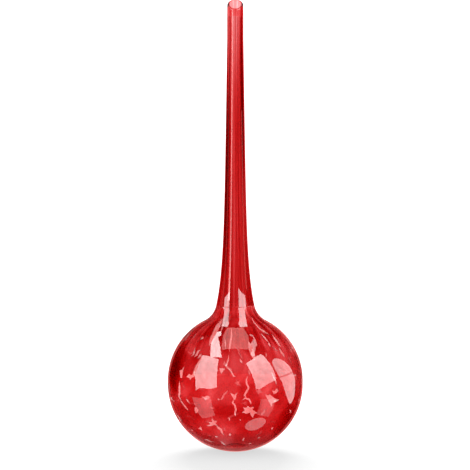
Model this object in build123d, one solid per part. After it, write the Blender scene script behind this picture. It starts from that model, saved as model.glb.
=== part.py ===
"""Watering globe: a hollow blown-glass ball with a long drawn stem.

It stands on a small flat with its stem up. Clear glass holds the water, a red skin lies over the
clear glass, and clear flecks show where the skin has parted. Sizes are in millimetres, +Z runs up
along the stem, and the slanted mouth faces -Y.
"""

import os
import random
from math import asin, atan2, cos, exp, hypot, pi, radians, sin, sqrt, tan
from typing import NamedTuple

from build123d import *

# Outside shape
overall_height = 300.0
globe_diameter = 90.0
belt_height = 2.4  # straight belt between the globe's two round halves
foot_diameter = 11.0  # flat that the globe stands on
neck_rise = 5.4  # from the top of the globe's round up to the seam with the stem
neck_diameter = 25.4  # outside, at the seam
stem_taper = 5.4  # diameter that the stem loses evenly from seam to tip, beside its flare
flare_length = 24.0  # height in which the stem's flare falls to about a third
tip_diameter = 10.8
tip_straight = 26.0  # length of the tip that has one diameter

# Glass
globe_wall = 1.8
stem_wall = 2.1
skin = 0.4  # thickness of the red skin, part of the walls above
seal_diameter = 20.0
seal_thickness = 5.0  # of the base seal, on the axis

# Mouth
mouth_slant = 34.0  # degrees off square
lip_length = 11.0  # from its seam with the stem to the top
lip_draw = 0.15  # by which the flame draws the end in, and opens its bore
lip_round = 0.8

globe_radius = globe_diameter / 2
tip_radius = tip_diameter / 2
low_centre = sqrt(globe_radius**2 - (foot_diameter / 2) ** 2)
high_centre = low_centre + belt_height
seam_height = high_centre + globe_radius + neck_rise
straight_height = overall_height - tip_straight
seat_angle = asin(seal_diameter / globe_diameter)
slant = radians(mouth_slant)
sharp_height = overall_height + lip_round * (tan(slant) + 1 / cos(slant) - 1)  # before rounding
lip_seam = overall_height - lip_length


class Layer(NamedTuple):
    """How far a face of the glass lies under the outside, on the globe and on the stem."""

    on_globe: float
    on_stem: float


OUTSIDE = Layer(0.0, 0.0)
UNDER_SKIN = Layer(skin, skin)
BORE = Layer(globe_wall, stem_wall)


# Gaps in the red skin that face -Y, as (x, height) seen from the front, in hundredths of the globe's
# diameter. A vein is a width and a path, and a patch is an outline. Those near the neck are drawn out
# along the glass.
FRONT_VEINS = [
    (1.4, [(-4.7, 77.2), (-5.1, 73.3), (-6.9, 69.1), (-6.7, 67.8)]),
    (1.3, [(-6.7, 68.2), (-3.6, 66.0), (-2.2, 63.8), (-1.3, 62.0), (0.4, 61.3)]),
    (1.4, [(9.1, 62.2), (8.0, 58.9), (8.4, 56.1), (9.8, 53.3), (8.0, 50.2), (6.7, 47.8), (8.2, 45.8)]),
    (1.2, [(4.7, 44.0), (7.1, 45.6), (10.0, 44.7), (11.1, 42.4), (11.8, 41.1)]),
    (1.4, [(-1.0, 44.9), (-1.8, 42.7), (-0.2, 40.4), (0.4, 37.3), (-0.4, 34.7), (0.2, 32.0)]),
    (1.7, [(-23.8, 75.8), (-26.2, 71.1), (-28.4, 67.1), (-29.8, 62.7), (-32.0, 60.7)]),
    (1.3, [(-32.0, 73.6), (-30.2, 76.2), (-29.1, 80.9)]),
    (1.3, [(-30.0, 73.8), (-28.2, 75.6), (-26.9, 78.4), (-24.9, 79.3)]),
    (1.3, [(-27.8, 72.9), (-25.8, 75.1), (-24.4, 77.1)]),
    (1.4, [(-25.6, 86.0), (-24.0, 87.1), (-22.9, 87.8)]),
    (1.4, [(-40.7, 56.2), (-41.1, 51.1), (-40.7, 46.7), (-41.3, 43.8), (-39.3, 41.6)]),
    (1.3, [(-41.1, 43.3), (-38.7, 39.8), (-36.4, 36.7), (-34.0, 34.0)]),
    (1.2, [(-36.2, 43.8), (-34.9, 41.8), (-33.1, 39.8)]),
    (1.4, [(3.1, 74.2), (4.2, 72.2), (5.1, 70.7)]),
    (1.1, [(-4.7, 31.3), (-4.3, 29.8), (-4.6, 28.4)]),
    (1.6, [(-14.0, 25.1), (-11.8, 22.2), (-10.2, 21.6), (-9.6, 18.9), (-8.0, 16.7)]),
    (1.4, [(-22.7, 11.6), (-20.2, 11.8), (-18.9, 10.2), (-15.1, 10.4)]),
    (1.4, [(-11.1, 11.8), (-9.3, 10.0), (-7.8, 8.4), (-6.4, 7.3)]),
    (1.3, [(15.6, 13.6), (17.3, 14.2), (18.9, 14.0)]),
    (1.3, [(9.6, 8.7), (10.9, 9.6), (12.0, 9.3)]),
    (1.2, [(26.0, 64.9), (27.3, 61.6), (29.1, 57.8), (30.2, 53.8)]),
    (1.4, [(39.3, 34.4), (40.7, 32.9), (40.2, 30.7)]),
    (2.6, [(9.6, 86.0), (10.9, 82.2), (12.2, 78.2), (13.3, 75.3), (14.4, 72.2)]),
    (1.0, [(12.2, 90.2), (14.0, 87.1), (14.9, 84.4), (16.0, 81.6)]),
    (1.0, [(18.2, 90.7), (20.7, 88.2), (22.9, 85.8), (24.4, 84.2)]),
    (1.4, [(24.0, 84.4), (24.7, 82.9), (25.6, 81.1)]),
    (1.3, [(22.2, 77.8), (22.7, 76.0), (22.2, 74.4)]),
    (1.1, [(26.4, 89.6), (28.9, 86.2), (31.6, 82.2), (33.3, 80.0)]),
    (1.2, [(31.8, 80.4), (33.3, 77.3), (35.1, 74.4), (36.2, 72.9)]),
    (2.2, [(-9.3, 100.7), (-12.2, 96.0), (-15.3, 90.7), (-17.8, 86.0), (-19.1, 81.8)]),
    (1.2, [(-7.8, 98.4), (-9.6, 94.0), (-11.3, 90.0)]),
    (1.8, [(-2.9, 94.9), (-2.7, 89.3), (-3.8, 84.0), (-4.4, 78.4)]),
    (1.1, [(-7.8, 88.4), (-7.3, 84.4), (-7.1, 80.4)]),
    (1.1, [(11.8, 101.6), (13.8, 97.3), (17.6, 93.6), (22.2, 90.7), (25.1, 88.9)]),
    (1.1, [(-44.4, 30.7), (-41.8, 27.3), (-38.7, 24.4)]),
    (1.1, [(-32.4, 19.3), (-31.8, 18.2), (-31.1, 17.3)]),
]
FRONT_PATCHES = [
    [
        (-3.6, 49.6), (-2.0, 49.1), (-0.7, 48.2), (1.6, 50.2), (0.7, 47.8),
        (0.4, 45.6), (-0.9, 44.2), (-1.8, 46.2), (-2.7, 47.8),
    ],
    [
        (-35.6, 59.3), (-33.8, 61.8), (-31.8, 60.9), (-29.6, 62.4), (-29.8, 60.0),
        (-31.6, 59.3), (-32.9, 57.3), (-33.6, 58.9),
    ],
    [(-40.7, 63.3), (-39.1, 63.8), (-37.3, 66.7), (-38.4, 62.2), (-39.1, 57.8), (-40.2, 58.2)],
    [(-48.0, 40.4), (-47.1, 42.2), (-46.0, 40.4), (-44.0, 39.3), (-46.2, 39.6)],
    [
        (-24.9, 46.4), (-22.7, 45.8), (-20.4, 47.1), (-18.4, 46.2), (-19.6, 44.7),
        (-21.6, 43.6), (-22.9, 44.9),
    ],
    [(-13.1, 44.9), (-12.2, 45.3), (-11.3, 44.7), (-12.2, 44.2)],
    [(-11.6, 67.1), (-9.6, 67.3), (-7.3, 66.9), (-8.9, 65.3), (-10.0, 63.3), (-10.9, 65.1)],
    [
        (5.6, 39.1), (7.8, 38.4), (9.1, 40.0), (10.7, 38.7), (13.8, 39.3), (12.4, 37.1), (16.2, 34.2),
        (13.8, 33.6), (12.7, 30.7), (11.3, 32.9), (10.7, 34.9), (8.2, 34.0), (4.9, 35.1), (6.9, 36.7),
    ],
    [(3.1, 29.6), (3.8, 30.0), (4.2, 29.3), (3.7, 28.7)],
    [
        (-19.6, 26.9), (-16.9, 27.3), (-17.3, 30.4), (-15.3, 28.2), (-13.3, 28.4), (-14.2, 26.2),
        (-12.7, 24.0), (-15.6, 24.9), (-18.2, 23.6), (-20.9, 23.8), (-18.4, 25.3),
    ],
    [(-27.1, 20.7), (-25.3, 22.7), (-24.0, 19.3), (-25.3, 20.0)],
    [(-4.9, 16.9), (-4.0, 18.7), (-3.1, 18.0), (-3.3, 16.4)],
    [(-15.1, 16.0), (-13.8, 15.8), (-12.2, 15.1), (-14.2, 14.4)],
    [(5.1, 12.9), (5.8, 14.2), (6.7, 14.9), (6.4, 12.7), (5.6, 12.0)],
    [(26.2, 20.7), (26.9, 22.2), (27.8, 21.1), (26.9, 19.8)],
    [
        (21.8, 48.2), (23.6, 46.9), (25.1, 47.8), (26.9, 46.0), (28.9, 44.2), (31.8, 42.9),
        (29.1, 41.6), (27.1, 40.7), (26.4, 38.2), (24.7, 41.6), (23.1, 44.7),
    ],
    [(26.7, 50.7), (28.4, 49.8), (30.0, 51.8), (31.6, 50.0), (29.6, 47.8), (27.8, 48.0)],
    [(43.1, 59.3), (44.0, 60.0), (44.7, 58.9), (43.8, 58.0)],
    [(-29.8, 37.3), (-28.2, 37.8), (-26.9, 35.8), (-27.3, 34.0), (-28.9, 32.9), (-29.6, 35.1)],
]

# The rest of the globe carries gaps of the same kinds, spread evenly.
round_gap_count = 130
round_gap_seed = 7
front_share = 0.30  # a gap further forward than this share of the radius is left to the lists
neck_zone = 0.55  # share of the globe's radius above its middle where gaps are drawn out
base_margin = 5.0  # height above the base seal's rim that stays whole
vein_share = 0.5  # of the gaps below the neck zone, the rest are patches
vein_length = (6.0, 13.0)
vein_width = (1.0, 1.7)
vein_swell = (0.6, 1.3)  # least and most of its width that a side of a vein takes
vein_steps = 4
vein_turn = 0.7  # most that a step of a vein turns off its heading, in radians
patch_reach = (1.5, 5.5)
patch_arm_counts = (3, 4, 5)
arm_share = (0.45, 1.0)  # of a patch's reach that an arm takes
notch_share = (0.2, 0.36)  # the same for the hollow between two arms


def point(radius, height):
    """A point of the half outline that is spun about the stem's axis."""
    return (radius, 0, height)


def stem_radius(height):
    """Outside radius of the stem, an even taper and a flare that dies away above the seam."""
    run = straight_height - seam_height
    left = exp(-run / flare_length)
    dying = (exp(-(height - seam_height) / flare_length) - left) / (1 - left)
    flare = (neck_diameter - tip_diameter - stem_taper) / 2
    return tip_radius + stem_taper / 2 * (straight_height - height) / run + flare * dying


def seam_slope():
    """Change of the stem's radius per unit of height, just above the seam."""
    step = flare_length / 1000
    return (stem_radius(seam_height + step) - stem_radius(seam_height)) / step


def neck_arc(layer):
    """Centre and radius of the hollow arc that touches the globe and runs into the stem."""
    length = hypot(1, seam_slope())
    out = (1 / length, -seam_slope() / length)
    seam_radius = stem_radius(seam_height) - layer.on_stem
    round_radius = globe_radius - layer.on_globe
    rise = seam_height - high_centre
    reach = seam_radius * out[0] + rise * out[1]
    radius = (seam_radius**2 + rise**2 - round_radius**2) / (2 * (round_radius - reach))
    return seam_radius + radius * out[0], seam_height + radius * out[1], radius


def touch_height(layer):
    """Height where the globe's round runs into the neck arc."""
    _, up, radius = neck_arc(layer)
    round_radius = globe_radius - layer.on_globe
    return high_centre + (up - high_centre) * round_radius / (round_radius + radius)


def globe_radius_at(height, layer=OUTSIDE):
    """Radius of the globe with its neck, up to the seam."""
    round_radius = globe_radius - layer.on_globe
    if height > touch_height(layer):
        across, up, radius = neck_arc(layer)
        return across - sqrt(radius**2 - (up - height) ** 2)
    above_belt = max(height - high_centre, 0)
    below_belt = max(low_centre - height, 0)
    return sqrt(round_radius**2 - (above_belt + below_belt) ** 2)


def outward_tilt(height):
    """Angle by which the globe's outside faces up at a height, in radians."""
    if height > touch_height(OUTSIDE):
        _, up, radius = neck_arc(OUTSIDE)
        return asin((up - height) / radius)
    above_belt = max(height - high_centre, 0)
    below_belt = max(low_centre - height, 0)
    return asin((above_belt - below_belt) / globe_radius)


def globe_line(layer):
    """One face of the globe's wall, from the base seal up to the seam."""
    round_radius = globe_radius - layer.on_globe
    seat_height = low_centre - round_radius * cos(seat_angle)
    heights = [
        (seat_height, (seat_height + low_centre) / 2, low_centre),
        (high_centre, (high_centre + touch_height(layer)) / 2, touch_height(layer)),
        (touch_height(layer), (touch_height(layer) + seam_height) / 2, seam_height),
    ]
    arcs = [
        ThreePointArc(*[point(globe_radius_at(height, layer), height) for height in three])
        for three in heights
    ]
    belt = Line(point(round_radius, low_centre), point(round_radius, high_centre))
    return [arcs[0], belt, arcs[1], arcs[2]]


def stem_line(layer):
    """One face of the stem's wall, from the globe's seam to the lip's."""
    shares = [0, 0.04, 0.1, 0.2, 0.35, 0.6, 1]
    heights = [seam_height + share * (straight_height - seam_height) for share in shares]
    along = [point(stem_radius(height) - layer.on_stem, height) for height in heights]
    curve = Spline(*along, tangents=[(seam_slope(), 0, 1), (0, 0, 1)])
    return [curve, Line(along[-1], point(tip_radius - layer.on_stem, lip_seam))]


def spun_wall(outer, inner):
    """A wall of glass between two faces, spun about the stem's axis."""
    ends = [Line(inner[0] @ 0, outer[0] @ 0), Line(inner[-1] @ 1, outer[-1] @ 1)]
    return revolve(Face(Wire([*outer, *inner, *ends])), Axis.Z)


def lip():
    """The end of the tube, cut on the slant and rounded by the flame."""
    rim = tip_radius - lip_draw
    bore = tip_radius - stem_wall
    corners = [
        point(tip_radius, lip_seam),
        point(rim, sharp_height),
        point(bore + lip_draw, sharp_height),
        point(bore, lip_seam),
    ]
    ring = revolve(make_face(Polyline(*corners, close=True)), Axis.Z)
    cut = Plane(
        origin=(0, 0, sharp_height - rim * tan(slant)),
        x_dir=(1, 0, 0),
        z_dir=(0, -sin(slant), cos(slant)),
    )
    ring = split(ring, bisect_by=cut, keep=Keep.BOTTOM)
    return fillet(ring.faces().sort_by(Axis.Z)[-1].edges(), lip_round)


def seal():
    """The button of glass that closes the globe's bottom, flat under it and domed inside."""
    foot = point(foot_diameter / 2, 0)
    inner_radius = globe_radius - globe_wall
    rims = [
        point(radius * sin(seat_angle), low_centre - radius * cos(seat_angle))
        for radius in (globe_radius, inner_radius)
    ]
    between = (asin(foot_diameter / globe_diameter) + seat_angle) / 2
    round_mid = point(globe_radius * sin(between), low_centre - globe_radius * cos(between))
    top = point(0, seal_thickness)
    outline = [
        Line(point(0, 0), foot),
        ThreePointArc(foot, round_mid, rims[0]),
        Line(*rims),
        TangentArc(top, rims[1], tangent=(1, 0, 0)),
        Line(top, point(0, 0)),
    ]
    return revolve(Face(Wire(outline)), Axis.Z)


def level_at(azimuth, height):
    """The plane that touches the globe's outside, X level and Z outward."""
    radius = globe_radius_at(height)
    tilt = outward_tilt(height)
    return Plane(
        origin=(radius * cos(azimuth), radius * sin(azimuth), height),
        x_dir=(-sin(azimuth), cos(azimuth), 0),
        z_dir=(cos(tilt) * cos(azimuth), cos(tilt) * sin(azimuth), sin(tilt)),
    )


def gap_tool(level, corners):
    """A prism that stands through the skin, square to a plane that touches the glass there."""
    _, _, tightest = neck_arc(OUTSIDE)
    reach = max(hypot(*corner) for corner in corners)
    through = 2 * skin + reach**2 / tightest
    return extrude(level * make_face(Polyline(*corners, close=True)), through, both=True)


def front_tool(outline):
    """A gap whose outline is given as it is seen from the front, in hundredths of the globe's diameter."""
    outline = [(x * globe_diameter / 100, height * globe_diameter / 100) for x, height in outline]
    middle_x = sum(x for x, _ in outline) / len(outline)
    middle_height = sum(height for _, height in outline) / len(outline)
    radius = globe_radius_at(middle_height)
    level = level_at(atan2(-sqrt(radius**2 - middle_x**2), middle_x), middle_height)
    corners = []
    for x, height in outline:
        on_globe = Vector(x, -sqrt(globe_radius_at(height) ** 2 - x**2), height)
        local = level.to_local_coords(on_globe)
        corners.append((local.X, local.Y))
    return gap_tool(level, corners)


def vein_outline(width, path, chance):
    """A path with pointed ends and uneven sides."""
    left, right = [], []
    for before, here, after in zip(path, path[1:], path[2:]):
        along = (after[0] - before[0], after[1] - before[1])
        length = hypot(*along)
        across = (-along[1] / length, along[0] / length)
        for side, sign in ((left, 1), (right, -1)):
            half = sign * width / 2 * chance.uniform(*vein_swell)
            side.append((here[0] + half * across[0], here[1] + half * across[1]))
    return [path[0], *left, path[-1], *reversed(right)]


def wandering_path(length, heading, chance):
    """A path of even steps about its middle that keeps turning a little."""
    path = [(-length / 2 * cos(heading), -length / 2 * sin(heading))]
    step = length / vein_steps
    for _ in range(vein_steps):
        turned = heading + chance.uniform(-vein_turn, vein_turn)
        x, y = path[-1]
        path.append((x + step * cos(turned), y + step * sin(turned)))
    return path


def ragged_outline(reach, chance):
    """A patch with a few uneven arms and hollow sides, as gaps between round chips have."""
    arms = chance.choice(patch_arm_counts)
    corners = []
    for arm in range(arms):
        tip = 2 * pi * (arm + chance.uniform(-0.25, 0.25)) / arms
        notch = 2 * pi * (arm + 0.5 + chance.uniform(-0.15, 0.15)) / arms
        long = reach * chance.uniform(*arm_share)
        short = reach * chance.uniform(*notch_share)
        corners += [(long * cos(tip), long * sin(tip)), (short * cos(notch), short * sin(notch))]
    return corners


def round_tools(chance):
    """Gaps over the rest of the globe, in a golden spiral from its base to its neck."""
    turn = pi * (3 - sqrt(5))
    lowest = low_centre - globe_radius * cos(seat_angle) + base_margin
    tools = []
    for index in range(round_gap_count):
        height = lowest + (touch_height(OUTSIDE) - lowest) * (index + 0.5) / round_gap_count
        azimuth = index * turn
        drawn_out = height > high_centre + neck_zone * globe_radius
        if drawn_out or chance.random() < vein_share:
            heading = pi / 2 + chance.uniform(-0.2, 0.2) if drawn_out else chance.uniform(0, pi)
            path = wandering_path(chance.uniform(*vein_length), heading, chance)
            corners = vein_outline(chance.uniform(*vein_width), path, chance)
        else:
            corners = ragged_outline(chance.uniform(*patch_reach), chance)
        if -globe_radius_at(height) * sin(azimuth) < front_share * globe_radius:
            tools.append(gap_tool(level_at(azimuth, height), corners))
    return tools


chance = random.Random(round_gap_seed)
gap_outlines = [vein_outline(width, path, chance) for width, path in FRONT_VEINS] + FRONT_PATCHES
gaps = Part() + [front_tool(outline) for outline in gap_outlines] + round_tools(chance)
globe_skin = spun_wall(globe_line(OUTSIDE), globe_line(UNDER_SKIN))

parts = {
    "clear_globe": spun_wall(globe_line(UNDER_SKIN), globe_line(BORE)),
    "red_globe_overlay": globe_skin - gaps,
    "clear_flecks": globe_skin & gaps,
    "base_seal": seal(),
    "clear_stem": spun_wall(stem_line(UNDER_SKIN), stem_line(BORE)),
    "red_stem_overlay": spun_wall(stem_line(OUTSIDE), stem_line(UNDER_SKIN)),
    "mouth_lip": lip(),
}

os.makedirs("parts", exist_ok=True)
for name, shape in parts.items():
    export_step(shape, f"parts/{name}.step")
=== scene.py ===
"""Looks of the watering globe: cased red glass with clear flecks, on a pale table in soft studio light."""

import logging
import math
from dataclasses import dataclass
from enum import Enum
from typing import Any

import bpy
from mathutils import Matrix, Vector


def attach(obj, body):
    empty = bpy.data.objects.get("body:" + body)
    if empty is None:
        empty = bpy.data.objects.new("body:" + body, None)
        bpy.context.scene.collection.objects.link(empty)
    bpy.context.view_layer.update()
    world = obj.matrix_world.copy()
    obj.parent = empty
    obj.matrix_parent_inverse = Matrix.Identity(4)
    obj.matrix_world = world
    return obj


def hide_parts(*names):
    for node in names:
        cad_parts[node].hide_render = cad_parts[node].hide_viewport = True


log = logging.getLogger("watering_globe")

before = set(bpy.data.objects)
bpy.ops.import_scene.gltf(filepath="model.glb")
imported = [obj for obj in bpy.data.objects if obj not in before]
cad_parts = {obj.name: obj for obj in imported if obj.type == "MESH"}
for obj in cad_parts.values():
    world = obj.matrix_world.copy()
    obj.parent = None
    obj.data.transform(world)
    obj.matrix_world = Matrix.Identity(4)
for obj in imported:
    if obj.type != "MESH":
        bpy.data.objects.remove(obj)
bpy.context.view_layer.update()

Colour = tuple[float, float, float]
Point = tuple[float, float, float]

WHITE = (1.0, 1.0, 1.0)
NECK_RED = (0.69, 0.096, 0.10)
DRAWN_RED = (0.70, 0.102, 0.106)
ROSE_LIGHT = (1.0, 0.55, 0.52)
RED_LIGHT = (1.0, 0.25, 0.23)


class Signal:
    """One output of a shader node, which takes part in plain Python arithmetic."""

    def __init__(self, graph: "Graph", socket: bpy.types.NodeSocket) -> None:
        """Keeps the socket and the graph that new nodes go into."""
        self.graph = graph
        self.socket = socket

    def _math(self, operation: str, first: "Signal | float", second: "Signal | float") -> "Signal":
        """A Math node on two values."""
        return self.graph.add("ShaderNodeMath", {"operation": operation}, {0: first, 1: second})

    def __add__(self, other: "Signal | float") -> "Signal":
        """Sum."""
        return self._math("ADD", self, other)

    def __radd__(self, other: float) -> "Signal":
        """Sum with a number in front."""
        return self._math("ADD", other, self)

    def __sub__(self, other: "Signal | float") -> "Signal":
        """Difference."""
        return self._math("SUBTRACT", self, other)

    def __rsub__(self, other: float) -> "Signal":
        """A number less this signal."""
        return self._math("SUBTRACT", other, self)

    def __mul__(self, other: "Signal | float") -> "Signal":
        """Product."""
        return self._math("MULTIPLY", self, other)

    def __rmul__(self, other: float) -> "Signal":
        """Product with a number in front."""
        return self._math("MULTIPLY", other, self)

    def __rtruediv__(self, other: float) -> "Signal":
        """A number divided by this signal."""
        return self._math("DIVIDE", other, self)

    def __pow__(self, other: "Signal | float") -> "Signal":
        """Power."""
        return self._math("POWER", self, other)

    def __rpow__(self, other: float) -> "Signal":
        """A number to the power of this signal."""
        return self._math("POWER", other, self)

    def __abs__(self) -> "Signal":
        """Size without its sign."""
        return self._math("ABSOLUTE", self, 0.0)

    def ramp(self, low: float, high: float) -> "Signal":
        """0 below low, 1 above high, smooth between."""
        return self.graph.add(
            "ShaderNodeMapRange",
            {"interpolation_type": "SMOOTHSTEP"},
            {"Value": self, "From Min": low, "From Max": high},
        )


class Graph:
    """The node tree of one material, lamp or world."""

    def __init__(self, tree: bpy.types.NodeTree) -> None:
        """Empties the tree."""
        self.tree = tree
        self.tree.nodes.clear()

    def node(self, kind: str, settings: dict[str, Any], inputs: dict[Any, Any]) -> bpy.types.Node:
        """Adds a node, sets its settings, then its inputs.

        Args:
            kind: Blender's name of the node type.
            settings: The node's own properties.
            inputs: Values or signals by socket name or number.

        Returns:
            The new node.
        """
        node = self.tree.nodes.new(kind)
        for name, value in settings.items():
            setattr(node, name, value)
        for key, value in inputs.items():
            if isinstance(value, Signal):
                self.tree.links.new(value.socket, node.inputs[key])
            else:
                node.inputs[key].default_value = value
        return node

    def add(
        self, kind: str, settings: dict[str, Any], inputs: dict[Any, Any], output: str | int = 0
    ) -> Signal:
        """Adds a node and returns one of its outputs.

        Args:
            kind: Blender's name of the node type.
            settings: The node's own properties.
            inputs: Values or signals by socket name or number.
            output: Name or number of the wanted output.

        Returns:
            That output.
        """
        return Signal(self, self.node(kind, settings, inputs).outputs[output])

    def place(self) -> Signal:
        """Where a point of the surface is, in metres from the foot."""
        return self.add("ShaderNodeTexCoord", {}, {}, "Object")

    def part(self, way: Signal, axis: str) -> Signal:
        """One of the three numbers of a vector."""
        return self.add("ShaderNodeSeparateXYZ", {}, {0: way}, axis)

    def vector(self, operation: str, *values: Any) -> Signal:
        """A Vector Math node that gives a vector."""
        return self.add("ShaderNodeVectorMath", {"operation": operation}, dict(enumerate(values)))

    def measure(self, operation: str, *values: Any) -> Signal:
        """A Vector Math node that gives a number, such as a length."""
        return self.add("ShaderNodeVectorMath", {"operation": operation}, dict(enumerate(values)), "Value")

    def level(self, place: Signal) -> Signal:
        """A place without its height."""
        return self.vector("MULTIPLY", place, (1.0, 1.0, 0.0))

    def noise(self, place: Signal, scale: float, detail: float = 2.0, twist: float = 0.0) -> Signal:
        """Soft noise from 0 to 1.

        Args:
            place: Where it is read.
            scale: Swells in one unit of place.
            detail: Number of finer layers.
            twist: How far the noise is pulled about by itself.

        Returns:
            The noise's value.
        """
        inputs = {"Vector": place, "Scale": scale, "Detail": detail, "Distortion": twist}
        return self.add("ShaderNodeTexNoise", {}, inputs, "Fac")

    def drawn_noise(self, place: Signal, around: float, along: float) -> Signal:
        """Noise that is drawn out along the stem's axis, as drawn glass is.

        Args:
            place: Where it is read.
            around: Swells in one radian about the axis.
            along: Swells in one metre of height.

        Returns:
            The noise's value.
        """
        way = self.vector("NORMALIZE", self.level(place))
        ring = self.vector("MULTIPLY", way, (around, around, around))
        rise = self.vector("MULTIPLY", place, (0.0, 0.0, along))
        return self.noise(self.vector("ADD", ring, rise), 1.0, 3.0)

    def close(self, kind: str, surface: Signal) -> None:
        """Leads a shader to the output node of the given type."""
        self.node(kind, {}, {"Surface": surface})


@dataclass(frozen=True)
class Glass:
    """A coloured glass, given by the light that passes one layer of it seen square on.

    Attributes:
        name: Name of the material.
        tint: Share of red, green and blue light that one layer passes.
        high_tint: The same high up on the piece, and the heights in metres between which it sets in.
        milk: Share of the surface that scatters light instead of passing it.
        cloud: How much the colour's depth differs from place to place.
        cloud_scale: Clouds in one metre.
        streak: How much the colour's depth differs from streak to streak along the stem.
        streak_rise: Heights in metres between which the streaks set in.
        streak_scale: Streaks in one radian about the axis and in one metre of height.
        slant: How much deeper the colour gets towards the edges, where a look crosses the skin aslant.
        core: Radius from the axis, in metres, under which the colour is weakest, radius from which it has
            its full depth, and the share of its depth that is left at the first.
        fade: Height at which the colour starts to pale, height at which it is palest, both in metres,
            and the share of its depth that is left there.
        painted_shade_and_light: Places where the colour is painted deeper, as painted shade along dark
        edges and a dark reflection, and places where it is painted paler, as painted light: a point, the
        level and upright reach of the place about it, all in metres, and the share of depth that it adds
        there, below 0 where it is painted paler.
        wave: Height of the waves in the surface, in metres.
        wave_scale: Waves in one metre.
        roughness: Of the polished surface.
        smear: Roughness that smears on the surface add.
        smear_scale: Smears in one metre.
        ior: Refractive index.
        mirror: Share of light that the outside throws back square on, beyond what the index gives.
    """

    name: str
    tint: Colour
    high_tint: tuple[Colour, float, float] | None = None
    milk: float = 0.0
    cloud: float = 0.0
    cloud_scale: float = 60.0
    streak: float = 0.0
    streak_rise: tuple[float, float] | None = None
    streak_scale: tuple[float, float] = (6.0, 8.0)
    slant: float = 0.35
    core: tuple[float, float, float] | None = None
    fade: tuple[float, float, float] | None = None
    painted_shade_and_light: tuple[tuple[Point, float, float, float], ...] = ()
    wave: float = 0.0
    wave_scale: float = 35.0
    roughness: float = 0.02
    smear: float = 0.02
    smear_scale: float = 90.0
    ior: float = 1.35
    mirror: float = 0.0

    def build(self) -> bpy.types.Material:
        """Makes the material."""
        material = bpy.data.materials.new(self.name)
        material.use_nodes = True
        graph = Graph(material.node_tree)
        place = graph.place()
        height = graph.part(place, "Z")
        depth = self.depth(graph, place, height)
        passed = {index: share**depth for index, share in enumerate(self.shares(height))}
        smears = graph.noise(place, self.smear_scale, 4.0).ramp(0.45, 0.75)
        inputs = {
            "Base Color": graph.add("ShaderNodeCombineColor", {}, passed),
            "Roughness": self.roughness + self.smear * smears,
            "IOR": self.ior,
            "Transmission Weight": 1.0 - self.milk,
        }
        shine = {"Base Color": (*WHITE, 1.0), "Metallic": 1.0, "Roughness": self.roughness}
        if self.wave:
            waves = graph.noise(place, self.wave_scale, 1.0)
            bump = graph.add("ShaderNodeBump", {}, {"Strength": 1.0, "Distance": self.wave, "Height": waves})
            inputs["Normal"] = bump
            shine["Normal"] = bump
        surface = graph.add("ShaderNodeBsdfPrincipled", {}, inputs)
        if self.mirror:
            glint = graph.add("ShaderNodeBsdfPrincipled", {}, shine)
            share = self.mirror * self.outside(graph, place)
            surface = graph.add("ShaderNodeMixShader", {}, {0: share, 1: surface, 2: glint})
        graph.close("ShaderNodeOutputMaterial", surface)
        return material

    def outside(self, graph: Graph, place: Signal) -> Signal:
        """1 where a look from the air meets a face that looks away from the axis or up, 0 elsewhere.

        Args:
            graph: The material's graph.
            place: Where a point of the surface is.

        Returns:
            That signal.
        """
        normal = graph.add("ShaderNodeNewGeometry", {}, {}, "True Normal")
        behind = graph.add("ShaderNodeNewGeometry", {}, {}, "Backfacing")
        way = graph.vector("NORMALIZE", graph.level(place))
        outward = graph.measure("DOT_PRODUCT", normal, way)
        return outward.ramp(-0.6, -0.5) * (1.0 - behind)

    def shares(self, height: Signal) -> list[Signal | float]:
        """What one layer passes of each colour, at a height."""
        if self.high_tint is None:
            return list(self.tint)
        above, low, high = self.high_tint
        up = height.ramp(low, high)
        return [here + (there - here) * up for here, there in zip(self.tint, above)]

    def depth(self, graph: Graph, place: Signal, height: Signal) -> Signal:
        """How many plain layers of the glass a look passes, more where it is slanted.

        Args:
            graph: The material's graph.
            place: Where a point of the surface is.
            height: Its height.

        Returns:
            The number of layers.
        """
        facing = graph.add("ShaderNodeLayerWeight", {}, {"Blend": 0.5}, "Facing")
        layers = 1.0 / (1.0 - self.slant * facing)
        if self.cloud:
            clouds = graph.noise(place, self.cloud_scale, 3.0, 0.6)
            layers = layers * (1.0 + self.cloud * (clouds.ramp(0.3, 0.7) - 0.5))
        if self.streak:
            streaks = self.streak * (graph.drawn_noise(place, *self.streak_scale).ramp(0.3, 0.7) - 0.5)
            if self.streak_rise:
                streaks = streaks * height.ramp(*self.streak_rise)
            layers = layers * (1.0 + streaks)
        # Painted shade and painted light: the colour is deeper at dark edges and a dark reflection, paler
        # where light is painted in.
        for point, level, upright, more in self.painted_shade_and_light:
            squeezed = graph.vector("DIVIDE", graph.vector("SUBTRACT", place, point), (level, level, upright))
            away = graph.measure("LENGTH", squeezed)
            layers = layers * (1.0 + more * (1.0 - away.ramp(0.1, 1.0)))
        if self.core:
            inner, outer, left = self.core
            away = graph.measure("LENGTH", graph.level(place))
            layers = layers * (left + (1.0 - left) * away.ramp(inner, outer))
        if self.fade:
            low, high, left = self.fade
            layers = layers * (1.0 - (1.0 - left) * height.ramp(low, high))
        return layers


def dress_node(node: str, material: bpy.types.Material) -> None:
    """Puts a material on a solid of the frame, in place of its plain one."""
    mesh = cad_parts[node].data
    mesh.materials.clear()
    mesh.materials.append(material)
    log.info("dressed %s", node)


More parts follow.
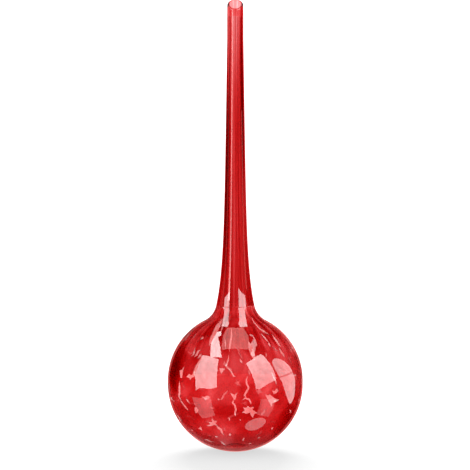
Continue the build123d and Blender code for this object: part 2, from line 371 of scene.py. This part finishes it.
@dataclass(frozen=True)
class Globe:
    """The ball that holds the water: clear bubble, red skin, flecks in its gaps, and base seal.

    Attributes:
        hair_gap: Left between the bubble and what is fused to it, in metres.
        skin: The red skin's glass.
        bubble: The clear glass, which hardly bends light because its real faces are fused to the skin.
        seal: The clear glass of the base, of great thickness.
        fleck: The glass in the gaps of the skin.
    """

    hair_gap: float = 0.00008
    skin: Glass = Glass(
        "red_skin",
        (0.68, 0.098, 0.104),
        high_tint=(NECK_RED, 0.082, 0.0965),
        milk=0.02,
        cloud=0.8,
        cloud_scale=45.0,
        streak=1.3,
        streak_rise=(0.058, 0.078),
        # Painted shade: deeper red along the left rim, where a dark reflection is painted, low on the right
        # and at the two sides of the neck. Painted light: paler red at the foot.
        painted_shade_and_light=(
            ((-0.0405, -0.018, 0.062), 0.013, 0.03, 1.5),
            ((0.036, -0.022, 0.022), 0.016, 0.02, 0.9),
            ((0.0, 0.0, 0.0), 0.06, 0.035, -0.5),
            ((0.0135, 0.0, 0.096), 0.006, 0.008, 1.0),
            ((-0.0135, 0.0, 0.096), 0.006, 0.008, 0.7),
        ),
        wave=0.0004,
        mirror=0.08,
    )
    bubble: Glass = Glass("clear_bubble", (0.98, 0.97, 0.97), ior=1.03)
    seal: Glass = Glass("clear_seal", (0.88, 0.4, 0.4))
    fleck: Glass = Glass("fleck", (1.0, 0.64, 0.62), milk=0.14, cloud=0.9, cloud_scale=220.0, mirror=0.08)

    def dress(self) -> None:
        """Gives the globe's solids their glass."""
        dress_node("clear_globe", self.bubble.build())
        self.part_faces()
        dress_node("base_seal", self.seal.build())
        dress_node("red_globe_overlay", self.skin.build())
        dress_node("clear_flecks", self.fleck.build())

    def part_faces(self) -> None:
        """Thins the bubble's wall by a hair, so that its faces don't lie in those of skin and seal."""
        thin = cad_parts["clear_globe"].modifiers.new("hair_gap", "DISPLACE")
        thin.mid_level = 0.0
        thin.strength = -self.hair_gap


@dataclass(frozen=True)
class Stem:
    """The drawn tube with its red skin and its slanted lip.

    Attributes:
        seam: Height of the seam with the globe, in metres as all sizes here.
        straight: Height above which the tube has one width.
        end: Height of the seam with the lip.
        neck_radius: Outside radius at the globe's seam.
        tip_radius: Outside radius of the straight end.
        taper: Radius that is lost evenly from seam to straight end, beside the flare.
        flare_length: Height in which the flare falls to about a third.
        skin_depth: Thickness of the red skin.
        wall: Thickness of skin and tube together.
        clearance: Left between tube and skin, so that their faces stay apart.
        bore_waver: Share of its radius by which the bore wavers, as a drawn bore does.
        sides: Facets round a sleeve.
        rings: Rows of facets up a sleeve.
        skin: The red skin's glass, which pales towards the lip.
        tube: The clear glass.
        lip: The glass of the end, where skin and tube have run together.
        fused: Ends of skin and tube, which bend no light because the real glass runs on there.
    """

    seam: float = 0.09747
    straight: float = 0.274
    end: float = 0.289
    neck_radius: float = 0.0127
    tip_radius: float = 0.0054
    taper: float = 0.0027
    flare_length: float = 0.024
    skin_depth: float = 0.0004
    wall: float = 0.0021
    clearance: float = 0.00008
    bore_waver: float = 0.03
    sides: int = 256
    rings: int = 64
    skin: Glass = Glass(
        "drawn_red_skin",
        NECK_RED,
        high_tint=(DRAWN_RED, 0.105, 0.14),
        milk=0.02,
        streak=1.0,
        slant=0.65,
        fade=(0.21, 0.29, 0.53),
        # Painted shade: deeper red along the stem's left edge and two dark lines along the tip, where the
        # tube's edges look dark.
        painted_shade_and_light=(
            ((-0.0062, -0.004, 0.17), 0.0045, 0.11, 1.4),
            ((-0.0056, -0.0005, 0.26), 0.0022, 0.13, 3.2),
            ((0.0046, -0.0038, 0.26), 0.0026, 0.13, 3.2),
        ),
        wave=0.00003,
        ior=1.03,
        mirror=0.16,
    )
    tube: Glass = Glass("clear_tube", (0.95, 0.93, 0.93), ior=1.45)
    lip: Glass = Glass(
        "flame_softened_lip",
        DRAWN_RED,
        cloud=0.3,
        streak=0.6,
        slant=0.5,
        core=(0.0033, 0.0046, 0.22),
        # Painted shade: the two dark lines of the tip run on into the lip.
        painted_shade_and_light=(
            ((-0.0056, -0.0005, 0.285), 0.0022, 0.03, 1.6),
            ((0.0046, -0.0038, 0.285), 0.0026, 0.03, 2.4),
        ),
        wave=0.00003,
        mirror=0.16,
    )
    fused: Glass = Glass("fused_end", WHITE, ior=1.0)

    def dress(self) -> None:
        """Makes the skin and the tube, and gives them and the lip their glass."""
        fused = self.fused.build()
        skin = self.build_sleeve("drawn_skin", "red_stem_overlay", 0.0, self.skin_depth)
        skin.data.materials.append(self.skin.build())
        skin.data.materials.append(fused)
        under = self.skin_depth + self.clearance
        tube = self.build_sleeve("drawn_tube", "clear_stem", under, self.wall, self.bore_waver)
        tube.data.materials.append(self.tube.build())
        tube.data.materials.append(fused)
        dress_node("mouth_lip", self.lip.build())

    def radius(self, height: float) -> float:
        """Outside radius of the stem at a height."""
        run = self.straight - self.seam
        rise = min(height - self.seam, run)
        left = math.exp(-run / self.flare_length)
        dying = (math.exp(-rise / self.flare_length) - left) / (1 - left)
        flare = self.neck_radius - self.tip_radius - self.taper
        return self.tip_radius + self.taper * (1 - rise / run) + flare * dying

    def sleeve_points(self, outer: float, inner: float, uneven: float) -> list[Point]:
        """Points of a sleeve: the rings of its outer face from the foot up, then those of its inner face.

        Args:
            outer: How far its outer face lies under the stem's outside.
            inner: The same for its inner face.
            uneven: Share of its radius by which the inner face wavers.

        Returns:
            The points. The ends stay a hair off the globe and the lip.
        """
        foot = self.seam + self.clearance
        top = self.end - self.clearance
        points: list[Point] = []
        for under, share in ((outer, 0.0), (inner, uneven)):
            for ring in range(self.rings + 1):
                height = foot + (top - foot) * ring / self.rings
                for side in range(self.sides):
                    angle = 2 * math.pi * side / self.sides
                    waver = math.sin(2 * angle + 40 * height) + math.sin(3 * angle - 25 * height)
                    radius = (self.radius(height) - under) * (1 + share * waver / 2)
                    points.append((radius * math.cos(angle), radius * math.sin(angle), height))
        return points

    def sleeve_faces(self, inside: int) -> tuple[list[tuple[int, ...]], list[tuple[int, ...]]]:
        """Faces of a sleeve.

        Args:
            inside: Number of the first point of the inner face.

        Returns:
            The faces of its walls, and those of its ends.
        """
        walls: list[tuple[int, ...]] = []
        ends: list[tuple[int, ...]] = []
        last = self.rings * self.sides
        for ring in range(self.rings):
            low = ring * self.sides
            high = low + self.sides
            for side in range(self.sides):
                beside = (side + 1) % self.sides
                corners = (low + side, low + beside, high + beside, high + side)
                walls.append(corners)
                walls.append(tuple(inside + corner for corner in reversed(corners)))
        for side in range(self.sides):
            beside = (side + 1) % self.sides
            ends.append((beside, side, inside + side, inside + beside))
            ends.append((last + side, last + beside, inside + last + beside, inside + last + side))
        return walls, ends

    def build_sleeve(
        self, name: str, node: str, outer: float, inner: float, uneven: float = 0.0
    ) -> bpy.types.Object:
        """Makes a sleeve of drawn glass.

        Args:
            name: Name of the piece.
            node: The plain solid that it stands for.
            outer: How far its outer face lies under the stem's outside.
            inner: The same for its inner face.
            uneven: Share of its radius by which the inner face wavers.

        Returns:
            The sleeve. Its end faces take its second material.
        """
        inside = (self.rings + 1) * self.sides
        walls, ends = self.sleeve_faces(inside)
        mesh = bpy.data.meshes.new(name)
        mesh.from_pydata(self.sleeve_points(outer, inner, uneven), [], walls + ends)
        mesh.shade_smooth()
        for end_face in mesh.polygons[len(walls):]:
            end_face.material_index = 1
        for edge in mesh.edges:
            on_rings = {vertex % inside // self.sides for vertex in edge.vertices}
            edge.use_edge_sharp = on_rings in ({0}, {self.rings})
        mesh.update()
        sleeve = bpy.data.objects.new(name, mesh)
        bpy.context.scene.collection.objects.link(sleeve)
        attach(sleeve, "root")
        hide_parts(node)
        log.info("built %s", name)
        return sleeve


class Outline(Enum):
    """Shape of a lamp's face."""

    OBLONG = "oblong"
    OVAL = "oval"


class Receiver(Enum):
    """What a lamp lights and shows in."""

    GLOBE = ("clear_globe", "red_globe_overlay", "clear_flecks", "base_seal")
    STEM = ("drawn_tube", "drawn_skin", "mouth_lip")
    TABLE = ()

    def collection(self) -> bpy.types.Collection:
        """The solids as a collection, made the first time it is asked for."""
        name = f"lit_{self.name.lower()}"
        found = bpy.data.collections.get(name)
        if found is None:
            found = bpy.data.collections.new(name)
            for solid in self.value:
                found.objects.link(bpy.data.objects.get(solid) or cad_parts[solid])
        return found


@dataclass(frozen=True)
class Softbox:
    """A lamp with a wide face that faces a point.

    Attributes:
        name: Name of the lamp.
        place: Its middle, in metres.
        aim: The point that it faces.
        width: Level side.
        height: Other side.
        radiance: How bright its face is, where a white wall in full light is 1.
        receiver: What it lights.
        turn: Turn about the line to its aim, in degrees.
        outline: Shape of its face.
        fall: Share of the brightness that is lost from the face's top to its bottom.
        taper: Width of the face's top over the width of its bottom.
        rib: Half of the thickness of a level rib across the face, or 0 for none, in metres.
        tint: Colour of its light.
        uneven: How much the brightness differs from place to place.
    """

    name: str
    place: Point
    aim: Point
    width: float
    height: float
    radiance: float
    receiver: Receiver = Receiver.GLOBE
    turn: float = 0.0
    outline: Outline = Outline.OBLONG
    fall: float = 0.0
    taper: float = 1.0
    rib: float = 0.0
    tint: Colour = WHITE
    uneven: float = 0.7

    def build(self) -> bpy.types.Object:
        """Hangs the lamp where it faces its aim."""
        data = bpy.data.lights.new(self.name, "AREA")
        data.shape = "RECTANGLE"
        data.size = self.width
        data.size_y = self.height
        data.energy = self.radiance * self.width * self.height * math.pi
        self.dress(data)
        lamp = bpy.data.objects.new(self.name, data)
        lamp.location = self.place
        back = Vector(self.place) - Vector(self.aim)
        facing = back.to_track_quat("Z", "Y").to_matrix().to_4x4()
        turned = facing @ Matrix.Rotation(math.radians(self.turn), 4, "Z")
        lamp.rotation_euler = turned.to_euler()
        lamp.visible_camera = False
        lamp.visible_transmission = False
        lamp.light_linking.receiver_collection = self.receiver.collection()
        bpy.context.scene.collection.objects.link(lamp)
        log.info("hung %s", self.name)
        return lamp

    def dress(self, data: bpy.types.Light) -> None:
        """Gives the face its uneven glow, its outline and its rib.

        Args:
            data: The lamp's data.
        """
        data.use_nodes = True
        graph = Graph(data.node_tree)
        spot = graph.add("ShaderNodeNewGeometry", {}, {}, "Parametric")
        across = graph.part(spot, "X")
        up = graph.part(spot, "Y")
        glow = 1.0 - self.fall * (1.0 - up) + self.uneven * (graph.noise(spot, 5.0, 4.0) - 0.5)
        if self.taper < 1.0:
            half = 0.5 - 0.5 * (1.0 - self.taper) * up
            glow = glow * (half - abs(across - 0.5)).ramp(0.0, 0.02)
        if self.outline is Outline.OVAL:
            middle = graph.vector("MULTIPLY_ADD", spot, (2.0, 2.0, 0.0), (-1.0, -1.0, 0.0))
            glow = glow * (1.0 - graph.measure("LENGTH", middle)).ramp(0.0, 0.03)
        if self.rib:
            turn = math.radians(self.turn)
            rise = self.height * math.cos(turn) * (up - 0.5) + self.width * math.sin(turn) * (across - 0.5)
            glow = glow * (0.45 + 0.55 * abs(rise).ramp(self.rib, 2.2 * self.rib))
        light = graph.add("ShaderNodeEmission", {}, {"Color": (*self.tint, 1.0), "Strength": glow})
        graph.close("ShaderNodeOutputLight", light)


@dataclass(frozen=True)
class Studio:
    """Table, neck flag, surround, lamps and camera. Sizes and places are in metres.

    Attributes:
        table_radius: Of the round table top.
        table_drop: How far the table top lies under the foot.
        table_grey: Share of light that the table top throws back.
        table_glow: Radiance of the table top by itself where the shadow falls: painted light, dimmer
            there so that the shadow shows.
        far_glow: The same away from the shadow, where the painted glow is as bright as the surround.
        shadow_middle: Where the middle of the shadow is.
        shadow_edge: Distances from there between which the glow rises.
        flag_height: Height of the neck flag, a dark card that keeps lamps off a part of the glass.
        flag_reach: How far its inner and outer edges are from the stem's axis.
        flag_turn: Azimuths of its ends, in degrees.
        bar_height: Height of the bar lamps, which carry the highlights of the neck on below its seam.
        bar_reach: How far their inner and outer edges are from the stem's axis.
        surround_glow: Radiance of the surround below and at the horizon.
        overhead_loss: How much less it is overhead.
        target: Point in the middle of the picture.
        elevation: Of the camera above the target's level, in degrees.
        distance: From the camera to the target.
        field: Width that the picture shows at the target.
        layers: How many layers of glass light may pass.
    """

    table_radius: float = 0.4
    table_drop: float = 0.0003
    table_grey: float = 0.3
    table_glow: float = 0.665
    far_glow: float = 1.3
    shadow_middle: Point = (0.0, -0.095, 0.0)
    shadow_edge: tuple[float, float] = (0.125, 0.185)
    flag_height: float = 0.09745
    flag_reach: tuple[float, float] = (0.01285, 0.0198)
    flag_turn: tuple[float, float] = (-75.0, 80.0)
    bar_height: float = 0.0974
    bar_reach: tuple[float, float] = (0.0132, 0.0189)
    surround_glow: float = 1.6
    overhead_loss: float = 0.9
    target: Point = (-0.0002, 0.0, 0.1442)
    elevation: float = 5.0
    distance: float = 2.2
    field: float = 0.3117
    layers: int = 24

    def panel(
        self,
        name: str,
        azimuths: tuple[float, float],
        heights: tuple[float, float],
        radiance: float,
        away: float = 1.0,
        **finish: Any,
    ) -> Softbox:
        """An upright softbox.

        Args:
            name: Name of the lamp.
            azimuths: Of its left and right edges from the camera's side, in degrees.
            heights: Of its lower and upper edges.
            radiance: How bright its face is.
            away: Its distance from the stem's axis.
            finish: Other fields of the softbox.

        Returns:
            The softbox.
        """
        left, right = (math.radians(azimuth) for azimuth in azimuths)
        low, high = heights
        middle = (low + high) / 2
        bearing = (left + right) / 2
        place = (away * math.sin(bearing), -away * math.cos(bearing), middle)
        width = 2 * away * math.tan((right - left) / 2)
        return Softbox(name, place, (0.0, 0.0, middle), width, high - low, radiance, **finish)

    def overhead(
        self, name: str, place: Point, width: float, height: float, radiance: float, **finish: Any
    ) -> Softbox:
        """A level softbox that faces straight down.

        Args:
            name: Name of the lamp.
            place: Its middle.
            width: One side.
            height: Other side.
            radiance: How bright its face is.
            finish: Other fields of the softbox.

        Returns:
            The softbox.
        """
        across, deep, _ = place
        return Softbox(name, place, (across, deep, 0.0), width, height, radiance, **finish)

    def bar(self, name: str, azimuths: tuple[float, float], radiance: float) -> Softbox:
        """A small bar lamp that faces down over the hollow curve under the neck.

        Args:
            name: Name of the lamp.
            azimuths: Of its ends from the camera's side, in degrees.
            radiance: How bright its face is.

        Returns:
            The softbox.
        """
        near, far = self.bar_reach
        left, right = azimuths
        away = (near + far) / 2
        turn = (left + right) / 2
        bearing = math.radians(turn)
        place = (away * math.sin(bearing), -away * math.cos(bearing), self.bar_height)
        width = 2 * away * math.tan(math.radians(right - left) / 2)
        return self.overhead(name, place, width, far - near, radiance, turn=turn)

    def globe_lamps(self) -> list[Softbox]:
        """Lamps that show in the globe, with their images in the table and the glow round its rim."""
        return [
            self.panel("left_panel", (-72, -33), (-0.06, 0.92), 4.3, fall=0.2, turn=6.0),
            self.panel("right_panel", (28, 68), (0.0, 0.96), 4.3, fall=0.35, turn=17.0),
            self.panel("left_panel_in_table", (-79, -42), (-1.0, -0.25), 0.72),
            self.panel("right_panel_in_table", (45, 76), (-0.9, -0.28), 0.5),
            self.panel("right_rim_panel", (164, 180), (-1.2, 0.4), 0.45, tint=RED_LIGHT),
            self.panel("left_rim_panel", (-180, -166), (-1.2, -0.1), 0.4, tint=RED_LIGHT),
            self.bar("left_neck_bar", (-43, -21), 3.8),
            self.bar("right_neck_bar", (12, 37), 3.8),
            self.overhead(
                "ceiling", (0.0, -0.24, 1.05), 0.82, 0.57, 1.8, turn=180.0, taper=0.7, tint=ROSE_LIGHT
            ),
            self.overhead("left_strip", (-0.54, -0.26, 1.05), 0.5, 1.1, 5.8, turn=158.0, taper=0.2),
            self.overhead("right_strip", (0.5, -0.31, 1.05), 0.16, 0.9, 2.5, turn=-158.0, taper=0.4),
            # This lamp stands before the stem and shows on the shoulder as the lit stem does.
            Softbox(
                "stem_glow", (0.0, -0.0125, 0.2008), (0.0, -1.0, 0.2008), 0.135, 0.188, 1.8,
                turn=180.0, taper=0.13, tint=ROSE_LIGHT,
            ),
            Softbox(
                "umbrella", (1.0, 0.15, 0.13), (0.0, 0.15, 0.13), 0.52, 1.28, 2.6,
                turn=41.0, outline=Outline.OVAL, rib=0.01,
            ),
            Softbox(
                "glow_in_table", (0.25, -0.16, -0.44), (0.0, 0.0, 0.02), 0.3, 0.24, 1.2,
                turn=30.0, outline=Outline.OVAL,
            ),
            Softbox("rim_glow", (0.0, 0.8, -0.03), (0.0, 0.0, 0.04), 0.9, 0.78, 0.62, tint=RED_LIGHT),
        ]

    def stem_lamps(self) -> list[Softbox]:
        """Lamps that show in the stem."""
        stem = Receiver.STEM
        return [
            self.panel("left_neck_panel", (-74, -38), (0.6, 3.0), 2.4, 3.0, receiver=stem),
            self.panel("right_neck_panel", (22, 70), (0.6, 3.0), 2.4, 3.0, receiver=stem),
            self.panel(
                "left_stem_strip", (-49, -38), (-0.05, 0.32), 4.6, receiver=stem, fall=0.9, tint=ROSE_LIGHT
            ),
            self.panel("right_stem_strip", (82, 93), (-0.2, 0.2), 1.3, receiver=stem, tint=RED_LIGHT),
            self.panel("lip_panel", (125, 235), (0.5, 1.8), 0.4, receiver=stem),
            self.panel("left_edge_strip", (-96, -84), (-0.2, 0.4), 0.45, receiver=stem, tint=RED_LIGHT),
        ]

    def build_lamps(self, table: bpy.types.Object) -> None:
        """Hangs the lamps.

        Args:
            table: The table top.
        """
        Receiver.TABLE.collection().objects.link(table)
        for box in self.globe_lamps() + self.stem_lamps():
            box.build()
        Softbox("table_lamp", (0.0, 1.15, 0.95), (0.0, 0.0, 0.0), 0.8, 0.6, 18.3, Receiver.TABLE).build()

    def add_card(
        self, name: str, points: list[Point], faces: list[tuple[int, ...]]
    ) -> tuple[bpy.types.Object, Graph]:
        """Makes a flat piece of the studio.

        Args:
            name: Name of the piece.
            points: Its corners.
            faces: Its faces, as numbers of corners.

        Returns:
            The piece, and the empty graph of its material.
        """
        mesh = bpy.data.meshes.new(name)
        mesh.from_pydata(points, [], faces)
        card = bpy.data.objects.new(name, mesh)
        bpy.context.scene.collection.objects.link(card)
        material = bpy.data.materials.new(name)
        material.use_nodes = True
        mesh.materials.append(material)
        return card, Graph(material.node_tree)

    def build_table(self) -> bpy.types.Object:
        """Lays the table top just under the foot."""
        sides = 96
        ring: list[Point] = []
        for side in range(sides):
            angle = 2 * math.pi * side / sides
            ring.append((self.table_radius * math.cos(angle), self.table_radius * math.sin(angle), 0.0))
        table, graph = self.add_card("table_top", ring, [tuple(range(sides))])
        table.location.z = -self.table_drop
        table.visible_glossy = False
        table.visible_shadow = False
        # Painted light: the table top glows by itself, dimmer in a disc round the shadow so that the shadow
        # shows, and brighter away from it.
        away = graph.measure("LENGTH", graph.vector("SUBTRACT", graph.place(), self.shadow_middle))
        glow = self.table_glow + (self.far_glow - self.table_glow) * away.ramp(*self.shadow_edge)
        surface = {
            "Base Color": (self.table_grey, self.table_grey, self.table_grey, 1.0),
            "Roughness": 0.9,
            "Specular IOR Level": 0.0,
            "Emission Color": graph.add("ShaderNodeCombineColor", {}, {0: glow, 1: glow, 2: glow}),
            "Emission Strength": 1.0,
        }
        graph.close("ShaderNodeOutputMaterial", graph.add("ShaderNodeBsdfPrincipled", {}, surface))
        log.info("laid the table top")
        return table

    def build_flag(self) -> None:
        """Hangs a dark card round the neck, which keeps the lamps out of the hollow curve under it."""
        steps = 32
        first, last = self.flag_turn
        points: list[Point] = []
        for step in range(steps + 1):
            bearing = math.radians(first + (last - first) * step / steps)
            for away in self.flag_reach:
                points.append((away * math.sin(bearing), -away * math.cos(bearing), self.flag_height))
        faces = [(2 * step, 2 * step + 1, 2 * step + 3, 2 * step + 2) for step in range(steps)]
        flag, graph = self.add_card("neck_flag", points, faces)
        flag.visible_camera = False
        flag.visible_diffuse = False
        flag.visible_transmission = False
        dark = {"Base Color": (0.0, 0.0, 0.0, 1.0), "Roughness": 1.0, "Specular IOR Level": 0.0}
        graph.close("ShaderNodeOutputMaterial", graph.add("ShaderNodeBsdfPrincipled", {}, dark))
        log.info("hung the neck flag")

    def build_surround(self) -> None:
        """A white surround below and at the horizon, dim overhead, that glints don't show."""
        world = bpy.data.worlds.new("surround")
        bpy.context.scene.world = world
        world.use_nodes = True
        graph = Graph(world.node_tree)
        height = graph.part(graph.add("ShaderNodeTexCoord", {}, {}, "Generated"), "Z")
        strength = self.surround_glow - self.overhead_loss * height.ramp(0.1, 0.35)
        light = graph.add("ShaderNodeBackground", {}, {"Color": (*WHITE, 1.0), "Strength": strength})
        graph.close("ShaderNodeOutputWorld", light)
        world.cycles_visibility.glossy = False
        log.info("set the surround")

    def build_camera(self) -> None:
        """A long lens a little above the level of the globe."""
        elevation = math.radians(self.elevation)
        data = bpy.data.cameras.new("camera")
        data.sensor_width = 36.0
        data.lens = data.sensor_width * self.distance / self.field
        camera = bpy.data.objects.new("camera", data)
        way = Vector((0.0, -math.cos(elevation), math.sin(elevation)))
        camera.location = Vector(self.target) + way * self.distance
        camera.rotation_euler = way.to_track_quat("Z", "Y").to_euler()
        bpy.context.scene.collection.objects.link(camera)
        bpy.context.scene.camera = camera
        log.info("set the camera")

    def set_light_paths(self) -> None:
        """Lets light pass all the layers of glass, and keeps the shadow neutral."""
        scene = bpy.context.scene
        scene.view_settings.view_transform = "Standard"
        scene.cycles.max_bounces = self.layers
        scene.cycles.transmission_bounces = self.layers
        scene.cycles.glossy_bounces = 8
        scene.cycles.caustics_refractive = False
        scene.cycles.caustics_reflective = False


def main() -> None:
    """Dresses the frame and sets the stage."""
    logging.basicConfig(level=logging.INFO, format="%(name)s: %(message)s")
    Globe().dress()
    Stem().dress()
    studio = Studio()
    table = studio.build_table()
    studio.build_flag()
    studio.build_surround()
    studio.build_lamps(table)
    studio.build_camera()
    studio.set_light_paths()


if __name__ == "__main__":
    main()
